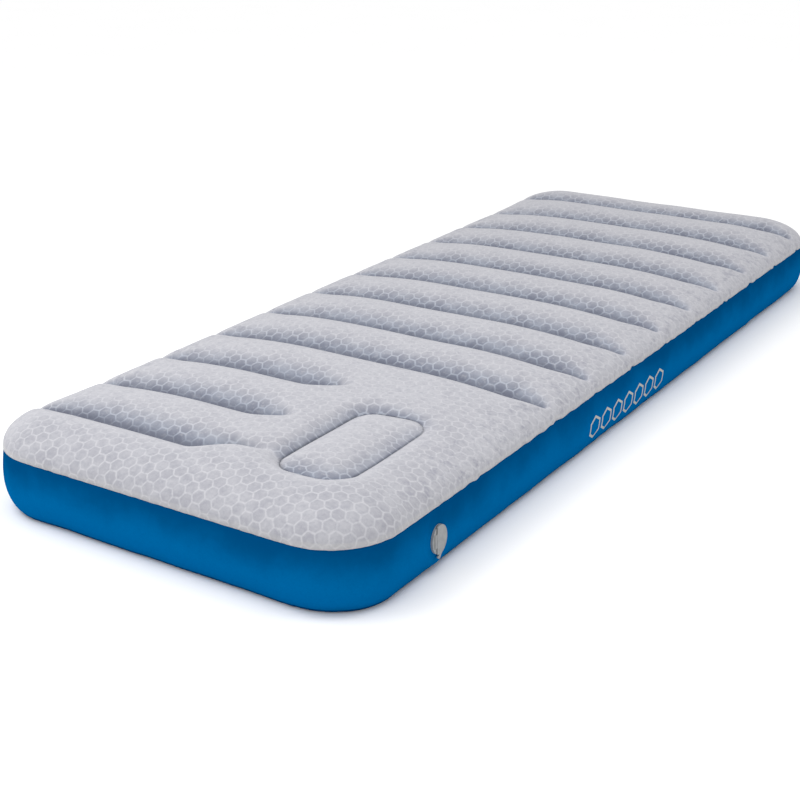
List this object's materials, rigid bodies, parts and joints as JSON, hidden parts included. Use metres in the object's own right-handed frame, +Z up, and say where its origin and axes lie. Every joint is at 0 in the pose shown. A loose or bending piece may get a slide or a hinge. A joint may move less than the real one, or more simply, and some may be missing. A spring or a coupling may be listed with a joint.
{
  "type": "air mattress",
  "caption": "Single inflatable air bed with cross-beam channels, a foot pump built into one corner, and side-wall intake and release valves.",
  "frame": {"origin": "centre of the bed's footprint, on the floor", "axes": "+Z up out of the sleeping surface, +Y from the pump end to the head end, +X towards the side with the intake valve"},
  "size_m": [0.811, 2.1104, 0.175],
  "materials": {
    "flocked_top": "short velvet flock with a printed hexagon net",
    "blue_vinyl": "soft satin vinyl",
    "base_vinyl": "satin vinyl with a fine grain",
    "inner_vinyl": "satin",
    "foam": "open-cell foam",
    "valve_plastic": "fine moulded satin",
    "seal": "soft translucent matte"
  },
  "bodies": {
    "mattress": {"top_sheet": "flocked_top", "side_wall": "blue_vinyl", "bottom_sheet": "base_vinyl", "cross_beam_01": "inner_vinyl", "cross_beam_02": "inner_vinyl", "cross_beam_03": "inner_vinyl", "cross_beam_04": "inner_vinyl", "cross_beam_05": "inner_vinyl", "cross_beam_06": "inner_vinyl", "cross_beam_07": "inner_vinyl", "cross_beam_08": "inner_vinyl", "cross_beam_09": "inner_vinyl", "cross_beam_10": "inner_vinyl", "cross_beam_11": "inner_vinyl", "cross_beam_12": "inner_vinyl", "pump_wall": "inner_vinyl", "pump_foam": "foam", "intake_duct": "inner_vinyl", "transfer_collar": "valve_plastic", "intake_flange": "blue_vinyl", "intake_collar": "valve_plastic", "intake_gasket": "seal", "intake_grille": "valve_plastic", "release_flange": "blue_vinyl", "release_collar": "valve_plastic", "release_gasket": "seal"},
    "pump": {"pump_pad": "flocked_top"},
    "lid": {"intake_lid": "valve_plastic"},
    "intake_check": {"intake_flap": "seal"},
    "transfer_check": {"transfer_flap": "seal"},
    "tether": {"release_tether": "valve_plastic"},
    "cap": {"release_cap": "valve_plastic"}
  },
  "joints": [
    {"name": "pump_press", "type": "slide", "parent": "mattress", "child": "pump", "axis": [0, 0, -1], "range_m": [0, 0.06], "stiffness_N_per_m": 900, "deforming": ["pump_foam"]},
    {"name": "lid_hinge", "type": "hinge", "parent": "mattress", "child": "lid", "pos_m": [0.4055, -0.829, 0.058], "axis": [0, 0, -1], "range_deg": [0, 150]},
    {"name": "intake_flap_hinge", "type": "hinge", "parent": "mattress", "child": "intake_check", "pos_m": [0.3838, -0.818, 0.0668], "axis": [0, 1, 0], "range_deg": [0, 30]},
    {"name": "transfer_flap_hinge", "type": "hinge", "parent": "mattress", "child": "transfer_check", "pos_m": [0.1316, -0.777, 0.0572], "axis": [0, 1, 0], "range_deg": [0, 35]},
    {"name": "cap_lift", "type": "slide", "parent": "mattress", "child": "tether", "axis": [-1, 0, 0], "range_m": [0, 0.0065]},
    {"name": "cap_screw", "type": "hinge", "parent": "tether", "child": "cap", "pos_m": [-0.397, -0.818, 0.058], "axis": [-1, 0, 0], "range_deg": [0, 540]}
  ],
  "couplings": [
    {"joint": "cap_lift", "follows": "cap_screw", "m_per_rad": 0.00063662}
  ]
}
